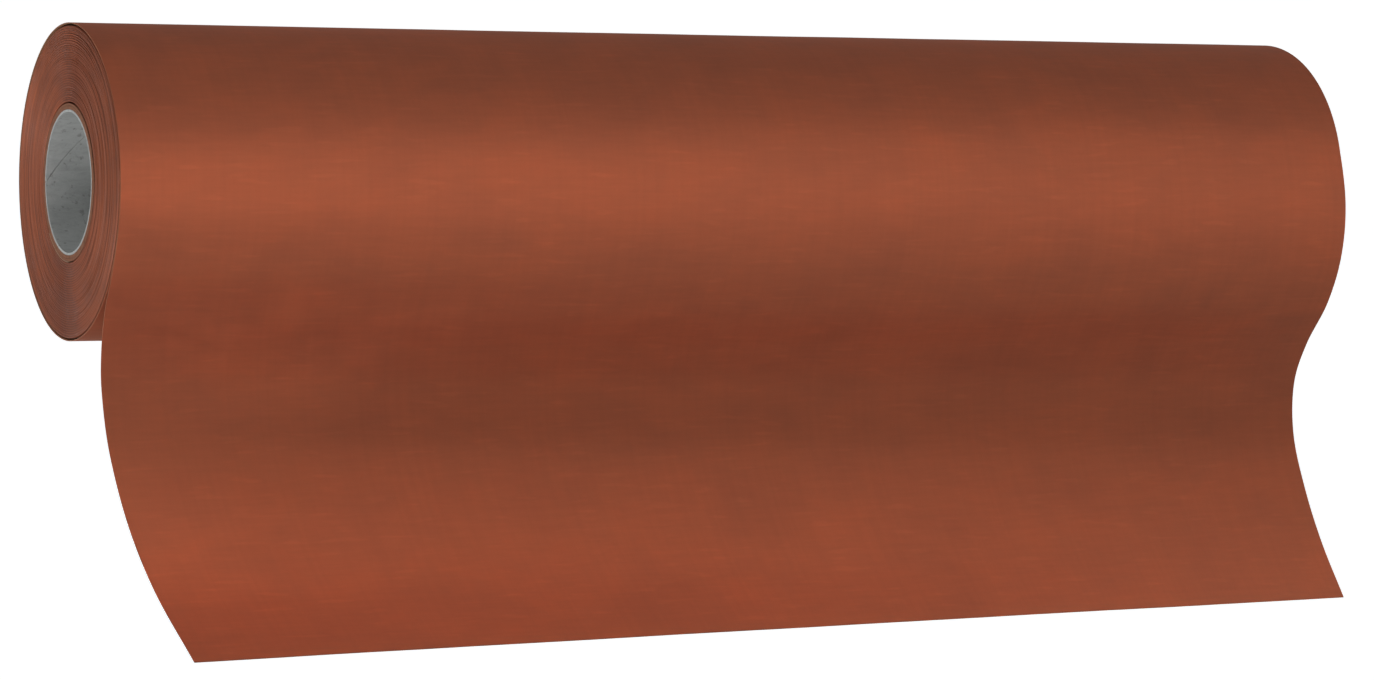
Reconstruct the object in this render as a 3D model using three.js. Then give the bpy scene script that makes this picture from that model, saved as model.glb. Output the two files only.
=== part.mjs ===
// A roll of adhesive-backed copper foil sheet for stained glass, wound on a paperboard core,
// with its free end hanging. Millimetres, +Z up. X runs along the roll's axis, and the origin
// is the middle of the core's bore. The foil hangs on the -Y side.
import * as THREE from "three";

// Driving dimensions
const WEB_WIDTH = 304.8; // 12 inches
const ROLL_RADIUS = 33.8; // to the outside of the outer turn, where it leaves the roll
const BORE_RADIUS = 15;
const CORE_PLIES = { inner: 0.5, middle: 0.7, outer: 0.5 };
const GLUE_LINE = 0.05; // between two plies of the core
const LAYERS = { foil: 0.12, adhesive: 0.06, liner: 0.12 };
const LAYER_GAP = 0.04; // between two layers of the web
const SPIRAL_PITCH = 0.62; // how much the radius falls in one turn
const RUNNING_GAP = 0.16; // between the outer turn and the turns wound below it
const START_STRIP = { thickness: 0.14, gap: 0.08, arc: 50 }; // arc in degrees

// The outer turn leaves the roll on a line this many degrees above the front of the roll.
const DEPARTURE_ANGLE = 12;
const OUTER_TURN_ANGLE = 352;

// Where the hanging sheet's outer face passes, as [y, z], at the web's left and right edges.
// The sheet hangs askew: its left side lies on the roll for longer and its end reaches further
// out, and its right side is slack where it leaves the roll.
const LEFT_PROFILE = [
  onRoll(DEPARTURE_ANGLE),
  onRoll(-10),
  onRoll(-32),
  [-21.9, -27],
  [-15.4, -36.3],
  [-11.7, -45],
  [-10.4, -57.5],
  [-15.3, -72.5],
  [-25.2, -86],
  [-41.6, -98.8],
];
const RIGHT_PROFILE = [
  onRoll(DEPARTURE_ANGLE),
  [-35.3, -5.5],
  [-33.6, -17.5],
  [-27.5, -28.5],
  [-16.9, -38.8],
  [-9.8, -48.8],
  [-6.8, -61.5],
  [-8.5, -75],
  [-12, -87.8],
  [-17.6, -100.6],
];
// How far along the roll's axis the sheet has strayed at each of these points
const STRAY = [0, 0, 0, 0.5, 1.9, 3.3, 5.4, 7.8, 10.3, 12.8];
const LEAD_START = 5; // the profile point that the lead bends at
const PEEL_START = 8; // the profile point that the liner's pull strip folds at
const PROFILE_END = LEFT_PROFILE.length - 1;
const CUT = 0.02; // half the gap, in profile points, between two pieces that meet at a bend

// Fineness of the curved faces
const RING_SEGMENTS = 96;
const TURN_STEP = 5.5; // degrees
const STEPS_PER_POINT = 3;
const COLUMNS = 6; // across the web, where it hangs askew
const BOX_BOTTOM = 5; // the place of the -Z face among a box's groups

const COPPER = { color: 0xa5532f, roughness: 0.5, metalness: 0.85 };
const ADHESIVE = { color: 0xc9a26b, roughness: 0.25, metalness: 0 };
const LINER = { color: 0x9c7350, roughness: 0.8, metalness: 0 };
const WOUND_EDGE = { color: 0x7c4a36, roughness: 0.65, metalness: 0.4 };
const GREYBOARD = { color: 0x8a8a86, roughness: 0.9, metalness: 0 };
const KRAFTBOARD = { color: 0x8a6647, roughness: 0.9, metalness: 0 };

// A point on the roll's outside, [y, z], at an angle in degrees above the front of the roll.
function onRoll(degrees, radius = ROLL_RADIUS) {
  const angle = THREE.MathUtils.degToRad(degrees);
  return [-radius * Math.cos(angle), radius * Math.sin(angle)];
}

function namedMesh(name, geometry, look) {
  const mesh = new THREE.Mesh(geometry, new THREE.MeshStandardMaterial(look));
  mesh.name = name;
  return mesh;
}

// The outer face of the wound web, `degrees` back from the departure line, with the direction
// that faces away from the roll.
function woundFace(degrees) {
  const radius = ROLL_RADIUS - (SPIRAL_PITCH * degrees) / 360;
  const at = new THREE.Vector2(...onRoll(DEPARTURE_ANGLE + degrees, radius));
  return { at, out: at.clone().normalize(), stray: 0 };
}

// The outer face of the hanging web at a place x across it, and how far it has strayed there.
// `point` counts along the profile, and 0 is the departure line.
function hangingFace(x, point) {
  const across = x / WEB_WIDTH + 0.5;
  const before = new THREE.Vector3(0, ...onRoll(DEPARTURE_ANGLE + 20));
  const passes = STRAY.map((stray, index) => {
    const left = new THREE.Vector3(stray, ...LEFT_PROFILE[index]);
    return left.lerp(new THREE.Vector3(stray, ...RIGHT_PROFILE[index]), across);
  });
  const curve = new THREE.CatmullRomCurve3([before, ...passes], false, "catmullrom");
  const along = (point + 1) / passes.length;
  const at = curve.getPoint(along);
  const travel = curve.getTangent(along);
  const out = new THREE.Vector2(travel.z, -travel.y).normalize();
  return { at: new THREE.Vector2(at.y, at.z), out, stray: at.x };
}

// Stations along the web, from one profile point to another.
function hangingStations(from, to) {
  const count = Math.round((to - from) * STEPS_PER_POINT);
  return Array.from({ length: count + 1 }, (_, i) => {
    const point = from + ((to - from) * i) / count;
    return (x) => hangingFace(x, point);
  });
}

// Stations round the outer turn, ending one step short of the departure line.
function woundStations() {
  const count = Math.round(OUTER_TURN_ANGLE / TURN_STEP);
  return Array.from({ length: count }, (_, i) => {
    const degrees = OUTER_TURN_ANGLE * (1 - i / count);
    return () => woundFace(degrees);
  });
}

// A box's top and bottom faces split their squares along opposite diagonals. This turns the
// bottom's, so that neighbouring layers stay parallel where their squares are twisted.
function turnBottomDiagonals(box) {
  const { start, count } = box.groups[BOX_BOTTOM];
  for (let i = start; i < start + count; i += 6) {
    const [a, b, d, , c] = box.index.array.slice(i, i + 6);
    box.index.array.set([a, b, c, a, c, d], i);
  }
}

// One layer of the web between two depths below the outer face, bent through its stations.
function webLayer(stations, [top, bottom]) {
  const steps = stations.length - 1;
  const flat = new THREE.BoxGeometry(WEB_WIDTH, steps, 1, COLUMNS, steps, 1);
  turnBottomDiagonals(flat);
  const place = flat.getAttribute("position");
  for (let i = 0; i < place.count; i += 1) {
    const x = place.getX(i);
    const station = stations[Math.round(steps / 2 - place.getY(i))];
    const depth = place.getZ(i) > 0 ? top : bottom;
    const { at, out, stray } = station(x);
    place.setXYZ(i, x + stray, at.x - out.x * depth, at.y - out.y * depth);
  }
  flat.computeVertexNormals();
  return flat;
}

// How deep each layer lies below the web's outer face, as [top, bottom].
function layerDepths() {
  const depths = {};
  let depth = 0;
  for (const [layer, thickness] of Object.entries(LAYERS)) {
    depths[layer] = [depth, depth + thickness];
    depth += thickness + LAYER_GAP;
  }
  return depths;
}

// A ring round the roll's axis, as wide as the web.
function ring(innerRadius, outerRadius) {
  const half = WEB_WIDTH / 2;
  const outline = [
    [innerRadius, -half],
    [outerRadius, -half],
    [outerRadius, half],
    [innerRadius, half],
    [innerRadius, -half],
  ];
  const profile = outline.map(([radius, along]) => new THREE.Vector2(radius, along));
  return new THREE.LatheGeometry(profile, RING_SEGMENTS).rotateZ(-Math.PI / 2);
}

// A strip of double-sided tape on the core, under the first turn.
function startStrip(innerRadius) {
  const outerRadius = innerRadius + START_STRIP.thickness;
  const arc = THREE.MathUtils.degToRad(START_STRIP.arc);
  const section = new THREE.Shape();
  section.absarc(0, 0, outerRadius, 0, arc, false);
  section.absarc(0, 0, innerRadius, arc, 0, true);
  const strip = new THREE.ExtrudeGeometry(section, {
    depth: WEB_WIDTH,
    bevelEnabled: false,
    curveSegments: 12,
  });
  return strip.translate(0, 0, -WEB_WIDTH / 2).rotateY(Math.PI / 2);
}

function buildCore(roll) {
  let radius = BORE_RADIUS;
  for (const [ply, thickness] of Object.entries(CORE_PLIES)) {
    const look = ply === "inner" ? GREYBOARD : KRAFTBOARD;
    roll.add(namedMesh(`core_${ply}_ply`, ring(radius, radius + thickness), look));
    radius += thickness + GLUE_LINE;
  }
  return radius - GLUE_LINE;
}

function buildWoundTurns(roll, coreRadius, packRadius) {
  const stripRadius = coreRadius + START_STRIP.gap;
  roll.add(namedMesh("start_strip", startStrip(stripRadius), ADHESIVE));
  const firstTurnRadius = stripRadius + START_STRIP.thickness + START_STRIP.gap;
  roll.add(namedMesh("wound_turns", ring(firstTurnRadius, packRadius), WOUND_EDGE));
}

const depths = layerDepths();
const webThickness = depths.liner[1];
const looks = { foil: COPPER, adhesive: ADHESIVE, liner: LINER };

// The outer turn and the stretch that hangs from it, down to where the lead bends
const web = new THREE.Group();
const turnStations = [...woundStations(), ...hangingStations(0, LEAD_START - CUT)];
for (const layer of Object.keys(LAYERS)) {
  web.add(namedMesh(`outer_turn_${layer}`, webLayer(turnStations, depths[layer]), looks[layer]));
}

// The lead: the free end of the web, below the bend
const lead = new THREE.Group();
const leadStations = hangingStations(LEAD_START + CUT, PROFILE_END);
lead.add(namedMesh("lead_foil", webLayer(leadStations, depths.foil), COPPER));
lead.add(namedMesh("lead_adhesive", webLayer(leadStations, depths.adhesive), ADHESIVE));
const linerStations = hangingStations(LEAD_START + CUT, PEEL_START - CUT);
lead.add(namedMesh("lead_liner", webLayer(linerStations, depths.liner), LINER));
const pullStations = hangingStations(PEEL_START + CUT, PROFILE_END);
lead.add(namedMesh("liner_pull_strip", webLayer(pullStations, depths.liner), LINER));

// The core and the turns wound on it, which turn inside the outer turn
const roll = new THREE.Group();
const coreRadius = buildCore(roll);
const innermost = ROLL_RADIUS - (SPIRAL_PITCH * OUTER_TURN_ANGLE) / 360 - webThickness;
buildWoundTurns(roll, coreRadius, innermost - RUNNING_GAP);

const copperFoilRoll = new THREE.Group();
copperFoilRoll.add(web, lead, roll);

export default copperFoilRoll;
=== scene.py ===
import math

import bmesh
import bpy
import numpy as np
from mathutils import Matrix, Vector, noise


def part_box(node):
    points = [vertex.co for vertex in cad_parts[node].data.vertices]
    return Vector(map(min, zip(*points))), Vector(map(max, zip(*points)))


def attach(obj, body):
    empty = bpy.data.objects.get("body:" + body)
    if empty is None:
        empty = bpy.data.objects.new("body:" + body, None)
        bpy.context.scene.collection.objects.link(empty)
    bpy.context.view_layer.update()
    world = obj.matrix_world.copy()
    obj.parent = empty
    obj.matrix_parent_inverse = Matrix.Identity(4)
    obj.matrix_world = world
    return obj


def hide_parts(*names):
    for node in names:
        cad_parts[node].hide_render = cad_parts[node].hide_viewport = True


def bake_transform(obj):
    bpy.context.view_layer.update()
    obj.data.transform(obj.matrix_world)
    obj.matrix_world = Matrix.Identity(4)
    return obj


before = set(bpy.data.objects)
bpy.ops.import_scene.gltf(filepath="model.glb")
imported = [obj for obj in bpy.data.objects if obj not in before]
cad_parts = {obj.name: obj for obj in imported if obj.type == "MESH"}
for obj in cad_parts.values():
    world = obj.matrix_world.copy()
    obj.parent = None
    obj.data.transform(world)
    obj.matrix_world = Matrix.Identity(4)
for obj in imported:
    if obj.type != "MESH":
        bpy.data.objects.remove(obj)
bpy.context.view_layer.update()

MM = 0.001
R = 0.0338  # the roll's radius, to the outside of the outer turn

# The web, as the CAD source has it
HALF_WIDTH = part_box("wound_turns")[1].x
DEPARTURE_ANGLE = 12  # degrees above the front of the roll, where the outer turn leaves it
OUTER_TURN_ANGLE = 352  # degrees
WOUND_LENGTH = math.radians(OUTER_TURN_ANGLE) * R
PEEL_START = 8  # the profile point that the liner's pull strip folds at

# Its layers, thinner than the CAD's so that the roll looks tightly wound
FOIL_THICKNESS = 0.10 * MM
LINER_THICKNESS = 0.08 * MM
LAYER_GAP = 0.05 * MM  # between the foil's adhesive and the liner
SPIRAL_PITCH = 0.25 * MM  # how much the radius falls in one turn: a little more than the layers
SLIT_POINT = PEEL_START - 1 / 3  # the profile point that the liner is slit at, above the fold
SLIT_PLACE = 0.85  # of the way from one row of points to the next


def on_roll(degrees):
    """A point on the roll's outside, as (y, z), that many degrees above its front."""
    angle = math.radians(degrees)
    return (-R * math.cos(angle), R * math.sin(angle))


# Where the hanging sheet's outer face passes, as (y, z), at its left and right edges
LEFT_PROFILE = [
    on_roll(DEPARTURE_ANGLE),
    on_roll(-10),
    on_roll(-32),
    (-0.0219, -0.0270),
    (-0.0154, -0.0363),
    (-0.0117, -0.0450),
    (-0.0104, -0.0575),
    (-0.0153, -0.0725),
    (-0.0252, -0.0860),
    (-0.0416, -0.0988),
]
RIGHT_PROFILE = [
    on_roll(DEPARTURE_ANGLE),
    (-0.0353, -0.0055),
    (-0.0336, -0.0175),
    (-0.0275, -0.0285),
    (-0.0169, -0.0388),
    (-0.0098, -0.0488),
    (-0.0068, -0.0615),
    (-0.0085, -0.0750),
    (-0.0120, -0.0878),
    (-0.0176, -0.1006),
]
# How far along the roll's axis the sheet has strayed at each of these points
STRAY = [0, 0, 0, 0.0005, 0.0019, 0.0033, 0.0054, 0.0078, 0.0103, 0.0128]
PROFILE_END = len(LEFT_PROFILE) - 1

# Fineness of the web's mesh
TURN_STEP = 2.75  # degrees between two rows of points round the outer turn
ROWS_PER_POINT = 12  # rows of points from one profile point to the next
COLUMNS = 160  # across the web

# Where the web's relief changes, in metres along it
COVERED_LENGTH = 0.025  # flat, from the outer turn's inner end on, where the sheet covers it
COVERED_FADE = 0.03  # how much further on the relief is all there
FREE_START = 0.03  # past the departure line, where the waves of the hanging sheet begin
FREE_FADE = 0.09  # how much further on they are all there

# The turns below the outer one, as a spiral whose edges show as ridges on the roll's ends. It
# stays inside the outer turn all the way round, so that it can spin.
TURN_RADII = (17.04 * MM, 33.30 * MM)
SHOWN_TURNS = 88  # each ridge stands for two turns of the real web
POINTS_PER_TURN = 3  # from one groove to the next
GROOVE_DEPTH = 0.10 * MM
SPOKES = 180
RING_SCALE = 625  # of the wave texture on the roll's ends, which puts its rings 0.5 mm apart

# The core's plies, from the bore outwards
PLIES = (  # name, node, slot, inner radius, thickness and width of the strip in mm, hand
    ("core_lining", "core_inner_ply", "greyboard", 15.0, 0.50, 66, 1),
    ("core_body", "core_middle_ply", "kraft_board", 15.55, 0.70, 71, -1),
    ("core_wrap", "core_outer_ply", "kraft_board", 16.30, 0.50, 76, 1),
)
PLY_COLUMNS = 14
PLY_STEPS_PER_TURN = 96
PLY_SEAM = 0.15 * MM

SHARP_DEGREES = 40  # an edge that turns more than this is shaded as a sharp one


# ---------------------------------------------------------------- shapes


def add_mesh(name, points, faces, materials, slots=None, uv=None):
    """A mesh object. slots gives each face's material, and uv each point's place on the web."""
    mesh = bpy.data.meshes.new(name)
    mesh.from_pydata([tuple(p) for p in points], [], [tuple(f) for f in faces])
    for material in materials:
        mesh.materials.append(material)
    if slots is not None:
        mesh.polygons.foreach_set("material_index", np.asarray(slots, np.int32))
    if uv is not None:
        corners = np.zeros(len(mesh.loops), np.int32)
        mesh.loops.foreach_get("vertex_index", corners)
        layer = mesh.uv_layers.new(name="web")
        layer.data.foreach_set("uv", np.asarray(uv, np.float32)[corners].ravel())
    mesh.validate()
    mesh.shade_smooth()
    mesh.set_sharp_from_angle(angle=math.radians(SHARP_DEGREES))
    piece = bpy.data.objects.new(name, mesh)
    bpy.context.scene.collection.objects.link(piece)
    return piece


def grid_faces(rows, columns, first=0):
    """Quads over a grid of points, as an array of four indices each."""
    row, column = np.meshgrid(np.arange(rows - 1), np.arange(columns - 1), indexing="ij")
    corner = (first + row * columns + column).ravel()
    return np.stack([corner, corner + columns, corner + columns + 1, corner + 1], 1)


def rim_faces(rows, columns, top, bottom):
    """Quads that close the edge between two grids of the same size, whose first points have the
    numbers top and bottom."""
    down = np.arange(rows) * columns
    across = np.arange(columns)
    edge = np.concatenate(
        [
            down[:-1],
            (rows - 1) * columns + across[:-1],
            (down + columns - 1)[:0:-1],
            across[:0:-1],
        ]
    )
    after = np.roll(edge, -1)
    return np.stack([top + edge, bottom + edge, bottom + after, top + after], 1)


def sheet_shell(name, front, back, place, materials):
    """A closed sheet from its front and back grids. Its materials are front, back and edge."""
    rows, columns = front.shape[:2]
    count = rows * columns
    faces = np.concatenate(
        [
            grid_faces(rows, columns),
            grid_faces(rows, columns, count)[:, ::-1],
            rim_faces(rows, columns, 0, count)[:, ::-1],
        ]
    )
    area = (rows - 1) * (columns - 1)
    slots = np.repeat([0, 1, 2], [area, area, len(faces) - 2 * area])
    uv = place.reshape(-1, 2)
    points = np.concatenate([front.reshape(-1, 3), back.reshape(-1, 3)])
    return add_mesh(name, points, faces, materials, slots, np.concatenate([uv, uv]))


# ---------------------------------------------------------------- the web


def wound_rows():
    """Points and outward directions of the outer turn's face in the YZ plane, row by row."""
    count = round(OUTER_TURN_ANGLE / TURN_STEP)
    back = OUTER_TURN_ANGLE * (1 - np.arange(count) / count)
    radius = R - SPIRAL_PITCH * back / 360
    angle = np.radians(DEPARTURE_ANGLE + back)
    out = np.stack([-np.cos(angle), np.sin(angle)], 1)
    return radius[:, None] * out, out


def hanging_rows(x):
    """The same for the hanging sheet, at each x across it, with how far it has strayed: three
    arrays of rows by columns. Each column is a smooth curve through its profile points."""
    across = ((x + HALF_WIDTH) / (2 * HALF_WIDTH))[:, None]
    left, right = np.array(LEFT_PROFILE)[:, None], np.array(RIGHT_PROFILE)[:, None]
    stray = np.broadcast_to(np.array(STRAY)[:, None, None], (len(STRAY), len(x), 1))
    passes = np.concatenate([stray, left + (right - left) * across], 2)
    before = np.broadcast_to((0, *on_roll(DEPARTURE_ANGLE + 20)), passes[:1].shape)
    after = 2 * passes[-1:] - passes[-2:-1]
    knots = np.concatenate([before, passes, after])
    at, travel = [], []
    for point in np.linspace(0, PROFILE_END, PROFILE_END * ROWS_PER_POINT + 1):
        i = min(int(point), PROFILE_END - 1)
        t = point - i
        p0, p1, p2, p3 = knots[i : i + 4]
        # The coefficients of a Catmull-Rom curve from p1 to p2
        c1 = (p2 - p0) / 2
        c2 = p0 - 2.5 * p1 + 2 * p2 - p3 / 2
        c3 = 1.5 * (p1 - p2) + (p3 - p0) / 2
        at.append(p1 + c1 * t + c2 * t**2 + c3 * t**3)
        travel.append(c1 + 2 * c2 * t + 3 * c3 * t**2)
    at, travel = np.array(at), np.array(travel)
    out = np.stack([travel[..., 2], -travel[..., 1]], 2)
    out /= np.linalg.norm(out, axis=2, keepdims=True)
    return at[..., 1:], out, at[..., 0]


def rise(value, start, length):
    """0 up to start, 1 from start + length on, and an even slope between them."""
    return min(max((value - start) / length, 0), 1)


def relief(x, along):
    """How far the sheet stands off its even shape at a place on the web, for along in metres past
    the departure line. On the roll it only stands proud, because the next turn is below it, and
    at the start of the outer turn, which the hanging sheet covers, it lies flat."""
    broad = noise.noise(Vector((x * 8, along * 10, 0.3)))
    medium = noise.noise(Vector((x * 33, along * 27, 4.1)))
    small = noise.noise(Vector((x * 95, along * 80, 9.7)))
    free = rise(along, FREE_START, FREE_FADE)
    uncovered = rise(along, COVERED_LENGTH - WOUND_LENGTH, COVERED_FADE)
    waves = (0.10 + 0.40 * free) * broad + (0.05 + 0.11 * free) * medium + 0.02 * small
    return (waves + 0.17 * (1 - free)) * uncovered * MM


def build_web_grids():
    """The web's outer face, its outward directions and each point's place on the flat web, all
    three as rows from the outer turn's inner end down to the hanging end."""
    x = np.linspace(-HALF_WIDTH, HALF_WIDTH, COLUMNS + 1)
    wound, wound_out = (np.repeat(rows[:, None], len(x), axis=1) for rows in wound_rows())
    hanging, hanging_out, stray = hanging_rows(x)
    at = np.concatenate([wound, hanging])
    out = np.concatenate([wound_out, hanging_out])
    stray = np.concatenate([np.zeros(wound.shape[:2]), stray])
    steps = np.linalg.norm(np.diff(at, axis=0), axis=2)
    along = np.concatenate([np.zeros((1, len(x))), np.cumsum(steps, axis=0)])
    along -= along[len(wound)]
    across = np.broadcast_to(x, along.shape)
    lift = np.vectorize(relief)(across, along)
    outward = np.concatenate([np.zeros((*lift.shape, 1)), out], 2)
    face = np.concatenate([(across + stray)[..., None], at], 2) + outward * lift[..., None]
    return face, outward, np.stack([across, along], 2)


def row_at(point):
    """The number of the grid row at a profile point of the hanging sheet."""
    return round(OUTER_TURN_ANGLE / TURN_STEP) + round(point * ROWS_PER_POINT)


def build_web(materials):
    """The foil with its adhesive, the liner behind it, and the liner's pull strip at the end."""
    face, outward, place = build_web_grids()
    looks = [materials["copper_foil"], materials["adhesive"], materials["copper_foil"]]
    foil = sheet_shell("foil_web", face, face - outward * FOIL_THICKNESS, place, looks)
    top = face - outward * (FOIL_THICKNESS + LAYER_GAP)
    bottom = top - outward * LINER_THICKNESS
    split = row_at(SLIT_POINT)
    above, below = slice(split), slice(split, None)
    # The liner's last row above the slit is drawn down until only the slit is left open
    for layer in (top, bottom):
        layer[split - 1] += (layer[split] - layer[split - 1]) * SLIT_PLACE
    looks = [materials["release_liner"]] * 3
    liner = sheet_shell("liner_web", top[above], bottom[above], place[above], looks)
    strip = sheet_shell("liner_strip", top[below], bottom[below], place[below], looks)
    return foil, liner, strip, place


# ---------------------------------------------------------------- the wound turns


def ridge_offset(turn, angle):
    """How far a turn's edge stands out from the roll's end: no turn lies quite true."""
    slow = noise.noise(Vector((turn * 0.11, math.cos(angle) * 0.4, math.sin(angle) * 0.4)))
    quick = noise.noise(Vector((turn * 1.7, math.cos(angle) * 0.8, math.sin(angle) * 0.8 + 5)))
    return (0.16 * slow + 0.13 * quick) * MM


def spiral_end(side):
    """The points of one end of the wound turns, spoke by spoke, where each turn is a ridge."""
    inner, outer = TURN_RADII
    pitch = (outer - inner) / (SHOWN_TURNS + 1)
    levels = SHOWN_TURNS * POINTS_PER_TURN + 1
    points = []
    for spoke in range(SPOKES + 1):
        share = spoke / SPOKES
        angle = 2 * math.pi * share
        for level in range(levels):
            turn = level // POINTS_PER_TURN + share
            radius = inner + pitch * (level / POINTS_PER_TURN + share)
            groove = GROOVE_DEPTH if level % POINTS_PER_TURN == 0 else 0
            x = side * (HALF_WIDTH + ridge_offset(turn + 40 * side, angle) - groove)
            points.append((x, -radius * math.cos(angle), -radius * math.sin(angle)))
    return np.array(points).reshape(SPOKES + 1, levels, 3)


def build_wound_turns(materials):
    """A spiral of turns between two ridged ends. The last spoke is the first spoke of the next
    turn, so both share their points, and the spiral's two ends are steps in its radius."""
    left, right = spiral_end(-1), spiral_end(1)
    spokes, levels = left.shape[:2]
    number = np.arange(spokes * levels).reshape(spokes, levels)
    number[-1, : levels - POINTS_PER_TURN] = number[0, POINTS_PER_TURN:]
    corners = [number[:-1, :-1], number[:-1, 1:], number[1:, 1:], number[1:, :-1]]
    end = np.stack([c.ravel() for c in corners], 1)
    shift = spokes * levels

    def wall(line):
        """Quads along a line of points at the left end to the same line at the right end."""
        return np.stack([line[:-1], line[:-1] + shift, line[1:] + shift, line[1:]], 1)

    inside, outside = wall(number[:, 0]), wall(number[:, -1])
    inner_step = wall(number[0, : POINTS_PER_TURN + 1])
    outer_step = wall(number[-1, levels - POINTS_PER_TURN - 1 :])
    parts = [
        (end, 0),
        (end[:, ::-1] + shift, 0),
        (inside, 1),
        (outside[:, ::-1], 1),
        (inner_step[:, ::-1], 1),
        (outer_step, 1),
    ]
    faces = np.concatenate([part for part, _ in parts])
    slots = np.concatenate([np.full(len(part), slot) for part, slot in parts])
    points = np.concatenate([left.reshape(-1, 3), right.reshape(-1, 3)])
    used, faces = np.unique(faces, return_inverse=True)
    faces = faces.reshape(-1, 4)
    looks = [materials["wound_edge"], materials["copper_foil"]]
    return add_mesh("wound_coil", points[used], faces, looks, slots)


# ---------------------------------------------------------------- the core


def build_ply(name, inner_radius, thickness, width, hand, material):
    """One ply of the core: a strip of board wound in a spiral with a butt seam, cut flush. The
    sizes are in millimetres, and hand is 1 or -1 for the way that it is wound."""
    radius = (inner_radius + thickness / 2) * MM
    pitch = width * MM
    turns = math.ceil(2 * HALF_WIDTH / pitch) + 2  # the first and last lie mostly past the ends
    points = []
    for step in range(turns * PLY_STEPS_PER_TURN + 1):
        turn = step / PLY_STEPS_PER_TURN
        angle = 2 * math.pi * turn * hand
        for column in range(PLY_COLUMNS + 1):
            x = (turn - 1) * pitch + (pitch - PLY_SEAM) * column / PLY_COLUMNS - HALF_WIDTH
            points.append((x, radius * math.cos(angle), radius * math.sin(angle)))
    faces = grid_faces(turns * PLY_STEPS_PER_TURN + 1, PLY_COLUMNS + 1)
    strip = add_mesh(name, points, faces, [material])
    trim_ends(strip)
    thicken = strip.modifiers.new("thickness", "SOLIDIFY")
    thicken.thickness = thickness * MM
    thicken.offset = 0
    apply_modifiers(strip)
    return strip


def trim_ends(piece):
    """Cuts a piece off flush with both ends of the roll."""
    cut = bmesh.new()
    cut.from_mesh(piece.data)
    for side in (-1, 1):
        bmesh.ops.bisect_plane(
            cut,
            geom=cut.verts[:] + cut.edges[:] + cut.faces[:],
            plane_co=(side * HALF_WIDTH, 0, 0),
            plane_no=(side, 0, 0),
            clear_outer=True,
        )
    cut.to_mesh(piece.data)
    cut.free()


def apply_modifiers(piece):
    """Puts the result of a piece's modifiers in its mesh."""
    evaluated = piece.evaluated_get(bpy.context.evaluated_depsgraph_get())
    mesh = bpy.data.meshes.new_from_object(evaluated)
    mesh.set_sharp_from_angle(angle=math.radians(SHARP_DEGREES))
    piece.modifiers.clear()
    piece.data = mesh


# ---------------------------------------------------------------- materials


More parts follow.
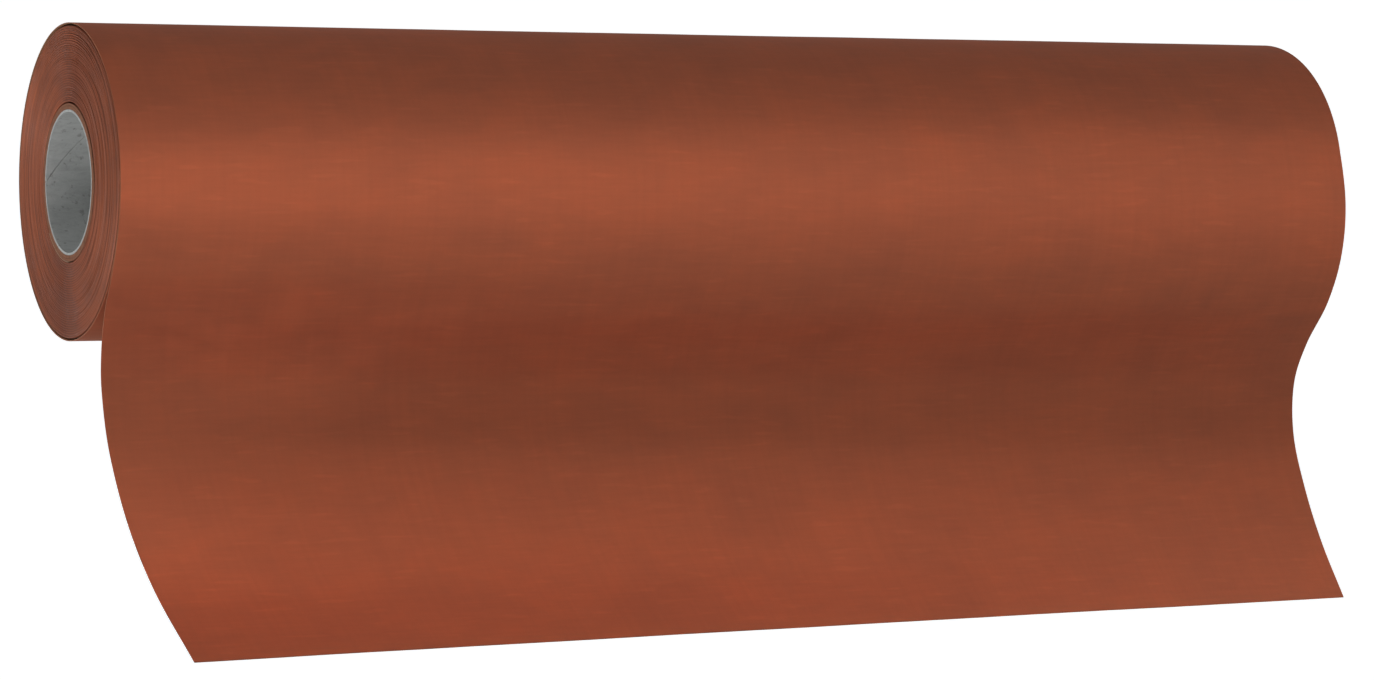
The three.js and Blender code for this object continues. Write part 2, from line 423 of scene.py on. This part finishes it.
class Nodes:
    """Short calls to build a material's node tree."""

    def __init__(self, name):
        self.material = bpy.data.materials.new(name)
        self.material.use_nodes = True
        self.tree = self.material.node_tree
        self.shader = self.tree.nodes["Principled BSDF"]

    def set(self, **values):
        """Sets the shader's own sockets, by their names in lower case with underscores."""
        for name, value in values.items():
            socket = name.replace("_", " ").title().replace("Ior", "IOR")
            self.shader.inputs[socket].default_value = value

    def link(self, source, target):
        self.tree.links.new(source, target)

    def add(self, kind, **settings):
        node = self.tree.nodes.new(kind)
        for key, value in settings.items():
            setattr(node, key, value)
        return node

    def scaled(self, place, scale):
        """Coordinates times scale, so that a pattern is longer along an axis with a small one."""
        mapping = self.add("ShaderNodeMapping")
        mapping.inputs["Scale"].default_value = scale
        self.link(place, mapping.inputs["Vector"])
        return mapping.outputs["Vector"]

    def web_place(self, scale=(1, 1, 1)):
        """Coordinates in metres on the flat web: across it, then along it."""
        return self.scaled(self.add("ShaderNodeUVMap", uv_map="web").outputs["UV"], scale)

    def object_place(self, scale=(1, 1, 1)):
        """Coordinates in metres in the CAD frame."""
        return self.scaled(self.add("ShaderNodeTexCoord").outputs["Object"], scale)

    def noise(self, place, size, detail=4, roughness=0.55, distortion=0):
        """Noise whose largest features are about size metres across."""
        texture = self.add("ShaderNodeTexNoise")
        texture.inputs["Scale"].default_value = 1 / size
        texture.inputs["Detail"].default_value = detail
        texture.inputs["Roughness"].default_value = roughness
        texture.inputs["Distortion"].default_value = distortion
        self.link(place, texture.inputs["Vector"])
        return texture.outputs["Fac"]

    def ramp(self, factor, stops):
        """stops are (place, colour) pairs, with colours as sRGB triples from 0 to 255."""
        node = self.add("ShaderNodeValToRGB")
        elements = node.color_ramp.elements
        for _ in stops[2:]:
            elements.new(0.5)
        for element, (place, colour) in zip(elements, stops):
            element.position = place
            element.color = (*[linear(c) for c in colour], 1)
        self.link(factor, node.inputs["Fac"])
        return node.outputs["Color"]

    def multiply(self, a, b):
        """One colour times another. The node's sockets 6, 7 and 2 are those for colours."""
        node = self.add("ShaderNodeMix", data_type="RGBA", blend_type="MULTIPLY")
        node.inputs["Factor"].default_value = 1
        self.link(a, node.inputs[6])
        self.link(b, node.inputs[7])
        return node.outputs[2]

    def shade(self, colour, factor, start, end, level):
        """colour times level where factor is below start, and times 1 where it is above end. For
        a level over 1 it is the other way round, so that the colour brightens above end."""
        low, high = (level, 1) if level < 1 else (1, level)
        node = self.add("ShaderNodeMapRange")
        node.inputs["From Min"].default_value = start
        node.inputs["From Max"].default_value = end
        node.inputs["To Min"].default_value = low
        node.inputs["To Max"].default_value = high
        self.link(factor, node.inputs["Value"])
        scaled = self.add("ShaderNodeVectorMath", operation="SCALE")
        self.link(colour, scaled.inputs[0])
        self.link(node.outputs["Result"], scaled.inputs["Scale"])
        return scaled.outputs["Vector"]

    def spread(self, value, low, high):
        """A noise value spread over low to high. Noise mostly lies between 0.3 and 0.7."""
        node = self.add("ShaderNodeMapRange")
        node.inputs["From Min"].default_value = 0.3
        node.inputs["From Max"].default_value = 0.7
        node.inputs["To Min"].default_value = low
        node.inputs["To Max"].default_value = high
        self.link(value, node.inputs["Value"])
        return node.outputs["Result"]

    def bump(self, height, distance, before=None):
        """A surface normal where height 1 stands out by distance metres, on top of the bump before."""
        node = self.add("ShaderNodeBump")
        node.inputs["Distance"].default_value = distance
        node.inputs["Strength"].default_value = 1
        self.link(height, node.inputs["Height"])
        if before is not None:
            self.link(before, node.inputs["Normal"])
        return node.outputs["Normal"]


def linear(channel):
    """An sRGB channel from 0 to 255 as linear light."""
    c = channel / 255
    return c / 12.92 if c <= 0.04045 else ((c + 0.055) / 1.055) ** 2.4


def copper_foil():
    """Satin copper, slightly toned: soft clouds, fine streaks along the roll and short dashes."""
    m = Nodes("copper_foil")
    m.set(metallic=0.8, roughness=0.55, specular_tint=(0.85, 0.66, 0.56, 1))
    m.set(coat_weight=0.5, coat_roughness=0.75)
    clouds = m.noise(m.web_place((0.6, 1, 1)), 0.016, 5, 0.55, 0.4)
    smudges = m.noise(m.web_place((0.7, 1, 1)), 0.0045, 4, 0.6, 0.8)
    streaks = m.noise(m.web_place((0.09, 1, 1)), 0.0011, 4, 0.6)
    dashes = m.noise(m.web_place((0.16, 1, 1)), 0.0016, 1, 0.4)
    rolled = m.noise(m.web_place((40, 1, 1)), 0.06, 3, 0.5)
    stops = [(0.30, (194, 105, 71)), (0.50, (201, 108, 72)), (0.70, (208, 110, 72))]
    tone = m.ramp(clouds, stops)
    colour = m.shade(tone, smudges, 0.30, 0.70, 0.93)
    colour = m.shade(colour, streaks, 0.30, 0.70, 0.94)
    colour = m.shade(colour, rolled, 0.35, 0.65, 0.97)
    colour = m.shade(colour, dashes, 0.62, 0.72, 1.06)
    m.link(colour, m.shader.inputs["Base Color"])
    m.link(m.spread(smudges, 0.52, 0.60), m.shader.inputs["Roughness"])
    normal = m.bump(smudges, 0.00003)
    normal = m.bump(streaks, 0.000012, before=normal)
    m.link(normal, m.shader.inputs["Normal"])
    return m.material


def adhesive():
    """A clear tacky film on the back of the copper."""
    m = Nodes("adhesive")
    m.set(metallic=0.35, roughness=0.3, coat_weight=0.6, coat_roughness=0.2)
    clouds = m.noise(m.web_place(), 0.02, 5)
    bubbles = m.noise(m.web_place(), 0.0015, 3)
    tone = m.ramp(clouds, [(0.3, (150, 92, 62)), (0.7, (172, 108, 72))])
    m.link(tone, m.shader.inputs["Base Color"])
    m.link(m.spread(bubbles, 0.24, 0.4), m.shader.inputs["Roughness"])
    m.link(m.bump(bubbles, 0.00004), m.shader.inputs["Normal"])
    return m.material


def release_liner():
    """Brown kraft paper with a dull silicone finish, and its fibres along the web."""
    m = Nodes("release_liner")
    m.set(roughness=0.62, specular_ior_level=0.35)
    fibres = m.noise(m.web_place((6, 1, 1)), 0.006, 7, 0.7, 0.4)
    clouds = m.noise(m.web_place(), 0.012, 5, 0.6)
    tone = m.ramp(fibres, [(0.25, (139, 98, 70)), (0.5, (158, 115, 84)), (0.8, (173, 130, 97))])
    shade = m.ramp(clouds, [(0.3, (226, 222, 218)), (0.7, (255, 255, 255))])
    m.link(m.multiply(tone, shade), m.shader.inputs["Base Color"])
    m.link(m.spread(clouds, 0.55, 0.68), m.shader.inputs["Roughness"])
    m.link(m.bump(fibres, 0.00005), m.shader.inputs["Normal"])
    return m.material


def wound_edge():
    """The cut edges of the turns: copper, adhesive and liner side by side."""
    m = Nodes("wound_edge")
    m.set(metallic=0.3, roughness=0.6)
    rings = m.add("ShaderNodeTexWave", wave_type="RINGS", rings_direction="X")
    rings.inputs["Scale"].default_value = RING_SCALE
    rings.inputs["Distortion"].default_value = 0.6
    rings.inputs["Detail"].default_value = 2
    m.link(m.object_place((0, 1, 1)), rings.inputs["Vector"])
    clouds = m.noise(m.object_place(), 0.006, 5, 0.6)
    stops = [(0.2, (136, 75, 50)), (0.55, (158, 86, 56)), (0.9, (170, 93, 60))]
    tone = m.ramp(rings.outputs["Fac"], stops)
    shade = m.ramp(clouds, [(0.3, (224, 222, 220)), (0.7, (255, 255, 255))])
    m.link(m.multiply(tone, shade), m.shader.inputs["Base Color"])
    m.link(m.spread(clouds, 0.5, 0.7), m.shader.inputs["Roughness"])
    m.link(m.bump(rings.outputs["Fac"], 0.00004), m.shader.inputs["Normal"])
    return m.material


def board(name, stops):
    """Paperboard: pressed fibres, dull, with darker specks."""
    m = Nodes(name)
    m.set(roughness=0.88, specular_ior_level=0.25)
    fibres = m.noise(m.object_place((1, 2.5, 2.5)), 0.004, 8, 0.72, 0.5)
    specks = m.noise(m.object_place(), 0.0012, 3, 0.5)
    tone = m.ramp(fibres, stops)
    shade = m.ramp(specks, [(0.30, (214, 212, 210)), (0.40, (255, 255, 255))])
    m.link(m.multiply(tone, shade), m.shader.inputs["Base Color"])
    m.link(m.spread(fibres, 0.82, 0.95), m.shader.inputs["Roughness"])
    m.link(m.bump(fibres, 0.00012), m.shader.inputs["Normal"])
    return m.material


def transfer_tape():
    """Double-sided tape on tissue."""
    m = Nodes("transfer_tape")
    m.set(roughness=0.4, coat_weight=0.3)
    tissue = m.noise(m.object_place((3, 1, 1)), 0.002, 6, 0.7)
    tone = m.ramp(tissue, [(0.3, (150, 112, 76)), (0.7, (172, 132, 94))])
    m.link(tone, m.shader.inputs["Base Color"])
    m.link(m.spread(tissue, 0.3, 0.5), m.shader.inputs["Roughness"])
    return m.material


def make_materials():
    """The materials, by the record's names for their slots."""
    grey = [(0.25, (151, 152, 150)), (0.5, (168, 169, 167)), (0.8, (181, 181, 179))]
    kraft = [(0.25, (104, 68, 50)), (0.5, (128, 84, 62)), (0.8, (146, 100, 75))]
    return {
        "copper_foil": copper_foil(),
        "adhesive": adhesive(),
        "release_liner": release_liner(),
        "wound_edge": wound_edge(),
        "greyboard": board("greyboard", grey),
        "kraft_board": board("kraft_board", kraft),
        "transfer_tape": transfer_tape(),
    }


# ---------------------------------------------------------------- camera, floor and light

# Angles are in degrees, and an azimuth of 0 is in front of the roll and 90 is off its +X end
CAMERA = {"azimuth": -26.74, "elevation": 1.98, "distance": 28.5 * R, "lens": 110.4}
TARGET = Vector((-0.15 * R, 0, -1.06 * R))

# The stage is far larger than the object, so that it is behind it from every side
FLOOR_Z = -1.0
FLOOR_RADIUS = 4.5
SWEEP_RADIUS = 1.5
BACKDROP_TOP = 6.0
SWEEP_STEPS = 12
STAGE_SIDES = 64

# Soft light from all round, and long strips that light bands along the roll and the sheet
AMBIENT = 0.21
AMBIENT_COLOUR = (1, 1.08, 1.12, 1)  # slightly cool
STRIP_COLOUR = (1, 0.84, 0.77)  # slightly warm
SOFTBOX_SIZE = 0.6
SOFTBOX_DISTANCE = 1.6
SOFTBOXES = (  # name, azimuth, elevation, watts
    ("front_high", 27, 20, 1.4),
    ("front_bounce", 27, -35, 0.25),
    ("end_top", -70, 50, 3.8),
    ("end_level", -70, 6, 3.3),
    ("end_bounce", -70, -35, 12.3),
    ("back_left", 200, -12, 2.5),
    ("back_right", 150, -12, 2.5),
    ("far_end", 95, 10, 4.5),
)
STRIP_BOXES = (  # name, what it shines at, elevation, how far it spreads in degrees, watts
    ("roll_low", (0, -R, -0.005), -15, 20, 0.0131),
    ("roll_level", (0, -R, 0), -6, 14, 0.0060),
    ("roll_high", (0, -R, 0), 10, 14, 0.0076),
    ("sheet_top", (0, -0.031, -0.098), 74, 14, 0.0070),
    ("sheet_high", (0, -0.031, -0.092), 50, 16, 0.0275),
)
STRIP_LENGTH = 0.7
STRIP_WIDTH = 0.03
STRIP_DISTANCE = 0.4


def toward(azimuth, elevation):
    """The direction from a point to a lamp or camera at that azimuth and elevation."""
    a, e = math.radians(azimuth), math.radians(elevation)
    return Vector((math.sin(a) * math.cos(e), -math.cos(a) * math.cos(e), math.sin(e)))


def make_camera():
    camera = bpy.data.objects.new("camera", bpy.data.cameras.new("camera"))
    bpy.context.scene.collection.objects.link(camera)
    back = toward(CAMERA["azimuth"], CAMERA["elevation"])
    camera.location = TARGET + back * CAMERA["distance"]
    camera.rotation_euler = (-back).to_track_quat("-Z", "Y").to_euler()
    camera.data.lens = CAMERA["lens"]
    camera.data.clip_start = 0.05
    camera.data.clip_end = 30
    bpy.context.scene.camera = camera


def make_stage():
    """A round pale floor that sweeps up into a backdrop on all sides. It shines by itself, and the
    object neither mirrors it nor is lit or shaded by it."""
    line = [(0, FLOOR_Z), (FLOOR_RADIUS, FLOOR_Z)]
    for step in range(1, SWEEP_STEPS + 1):
        angle = math.radians(90 * step / SWEEP_STEPS)
        up = SWEEP_RADIUS * (1 - math.cos(angle))
        line.append((FLOOR_RADIUS + SWEEP_RADIUS * math.sin(angle), FLOOR_Z + up))
    line.append((FLOOR_RADIUS + SWEEP_RADIUS, BACKDROP_TOP))
    points = []
    for radius, z in line:
        for side in range(STAGE_SIDES + 1):
            angle = 2 * math.pi * side / STAGE_SIDES
            points.append((radius * math.cos(angle), radius * math.sin(angle), z))
    m = Nodes("stage")
    m.set(base_color=(0.5, 0.5, 0.5, 1), roughness=0.9)
    m.set(emission_color=(1, 1, 1, 1), emission_strength=0.90)
    stage = add_mesh("stage", points, grid_faces(len(line), STAGE_SIDES + 1), [m.material])
    stage.visible_diffuse = False
    stage.visible_glossy = False
    stage.visible_shadow = False


def add_lamp(name, light, aim, out, distance):
    """An area light at a distance from the point it shines at, which the camera doesn't see."""
    lamp = bpy.data.objects.new(name, light)
    bpy.context.scene.collection.objects.link(lamp)
    lamp.location = aim + out * distance
    lamp.rotation_euler = (-out).to_track_quat("-Z", "Y").to_euler()
    lamp.visible_camera = False


def softbox(name, azimuth, elevation, watts):
    light = bpy.data.lights.new(name, "AREA")
    light.shape = "DISK"
    light.size = SOFTBOX_SIZE
    light.energy = watts
    add_lamp(name, light, TARGET, toward(azimuth, elevation), SOFTBOX_DISTANCE)


def strip_box(name, aim, elevation, spread, watts):
    """A long lamp with a grid on it, in line with the roll, that lights a narrow band."""
    light = bpy.data.lights.new(name, "AREA")
    light.shape = "RECTANGLE"
    light.size = STRIP_LENGTH
    light.size_y = STRIP_WIDTH
    light.color = STRIP_COLOUR
    light.energy = watts
    light.spread = math.radians(spread)
    add_lamp(name, light, Vector(aim), toward(0, elevation), STRIP_DISTANCE)


def make_light():
    world = bpy.data.worlds.new("studio")
    world.use_nodes = True
    background = world.node_tree.nodes["Background"]
    background.inputs["Color"].default_value = AMBIENT_COLOUR
    background.inputs["Strength"].default_value = AMBIENT
    bpy.context.scene.world = world
    for name, azimuth, elevation, watts in SOFTBOXES:
        softbox(name, azimuth, elevation, watts)
    for name, aim, elevation, spread, watts in STRIP_BOXES:
        strip_box(name, aim, elevation, spread, watts)
    bpy.context.scene.view_settings.view_transform = "Standard"


# ---------------------------------------------------------------- assembly


def assemble(materials):
    """Makes every piece, says that the wound turns and the core's plies ride on the roll, and says
    what each piece replaces and is made of.
    """
    foil, liner, strip, place = build_web(materials)
    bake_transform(foil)
    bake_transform(liner)
    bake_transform(strip)
    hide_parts("outer_turn_foil", "outer_turn_adhesive", "lead_foil", "lead_adhesive")
    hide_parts("outer_turn_liner", "lead_liner")
    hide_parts("liner_pull_strip")

    turns = build_wound_turns(materials)
    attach(turns, "roll")
    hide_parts("wound_turns")

    for name, node, slot, *shape in PLIES:
        piece = build_ply(name, *shape, materials[slot])
        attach(piece, "roll")
        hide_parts(node)

    start_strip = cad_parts["start_strip"]
    start_strip.data.materials.clear()
    start_strip.data.materials.append(materials["transfer_tape"])


make_camera()
make_stage()
make_light()
assemble(make_materials())
